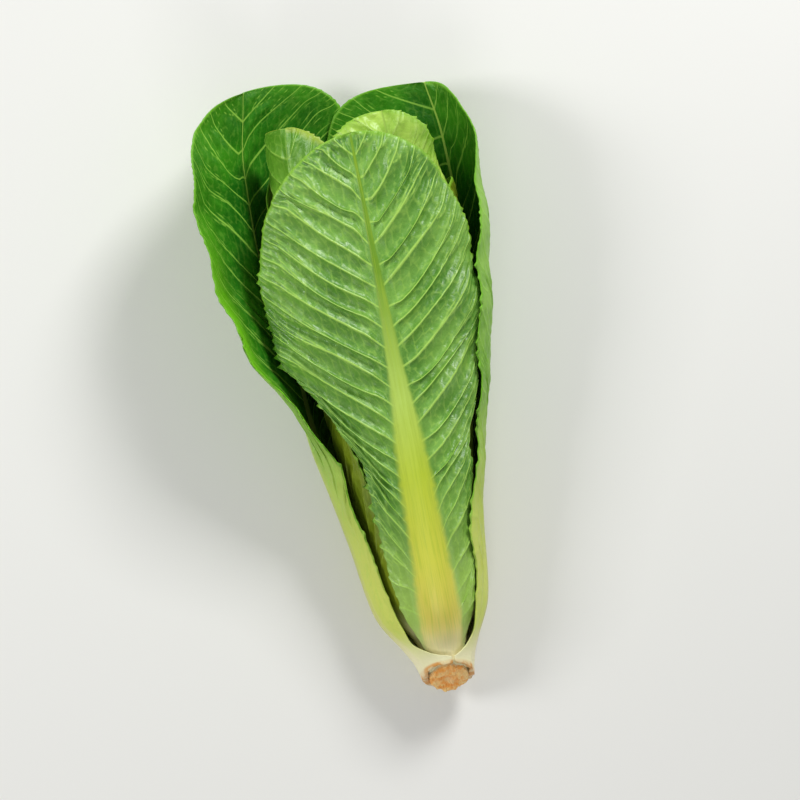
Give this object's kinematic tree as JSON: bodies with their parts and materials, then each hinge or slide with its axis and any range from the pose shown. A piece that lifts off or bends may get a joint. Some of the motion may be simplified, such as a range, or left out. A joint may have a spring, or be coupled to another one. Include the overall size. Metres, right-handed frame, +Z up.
{
  "type": "romaine lettuce head",
  "caption": "Whole romaine lettuce head lying on its side: long ribbed leaves with veins and toothed edges round a short cut stem.",
  "frame": {"origin": "on the surface that the head lies on, below the middle of its overall box", "axes": "+Y along the head from the cut stem to the leaf tips, +X to the right of a viewer who looks down on it with the tips away, +Z up"},
  "size_m": [0.1374, 0.2978, 0.0814],
  "materials": {
    "stem": "cut flesh, browned where it met the air, damp and fibrous",
    "dark_leaf": "deep green blade, half glossy, with pale veins and a cream rib low down",
    "front_leaf": "mid green back of a blade, quilted and half glossy, with raised pale veins and a yellow green rib",
    "heart_leaf": "pale yellow green blade, tender and half glossy, with a cream rib"
  },
  "bodies": {
    "root": {"cut_stem": "stem", "leaf_01": "dark_leaf", "leaf_02": "dark_leaf", "leaf_03": "front_leaf", "leaf_04": "dark_leaf", "leaf_05": "dark_leaf", "leaf_06": "front_leaf", "leaf_07": "dark_leaf", "leaf_08": "front_leaf", "leaf_09": "heart_leaf", "leaf_10": "heart_leaf", "leaf_11": "heart_leaf", "leaf_12": "heart_leaf", "leaf_13": "heart_leaf", "leaf_14": "heart_leaf", "leaf_15": "heart_leaf", "leaf_16": "heart_leaf", "leaf_17": "heart_leaf", "leaf_18": "heart_leaf", "leaf_19": "heart_leaf", "leaf_20": "heart_leaf"}
  },
  "joints": []
}
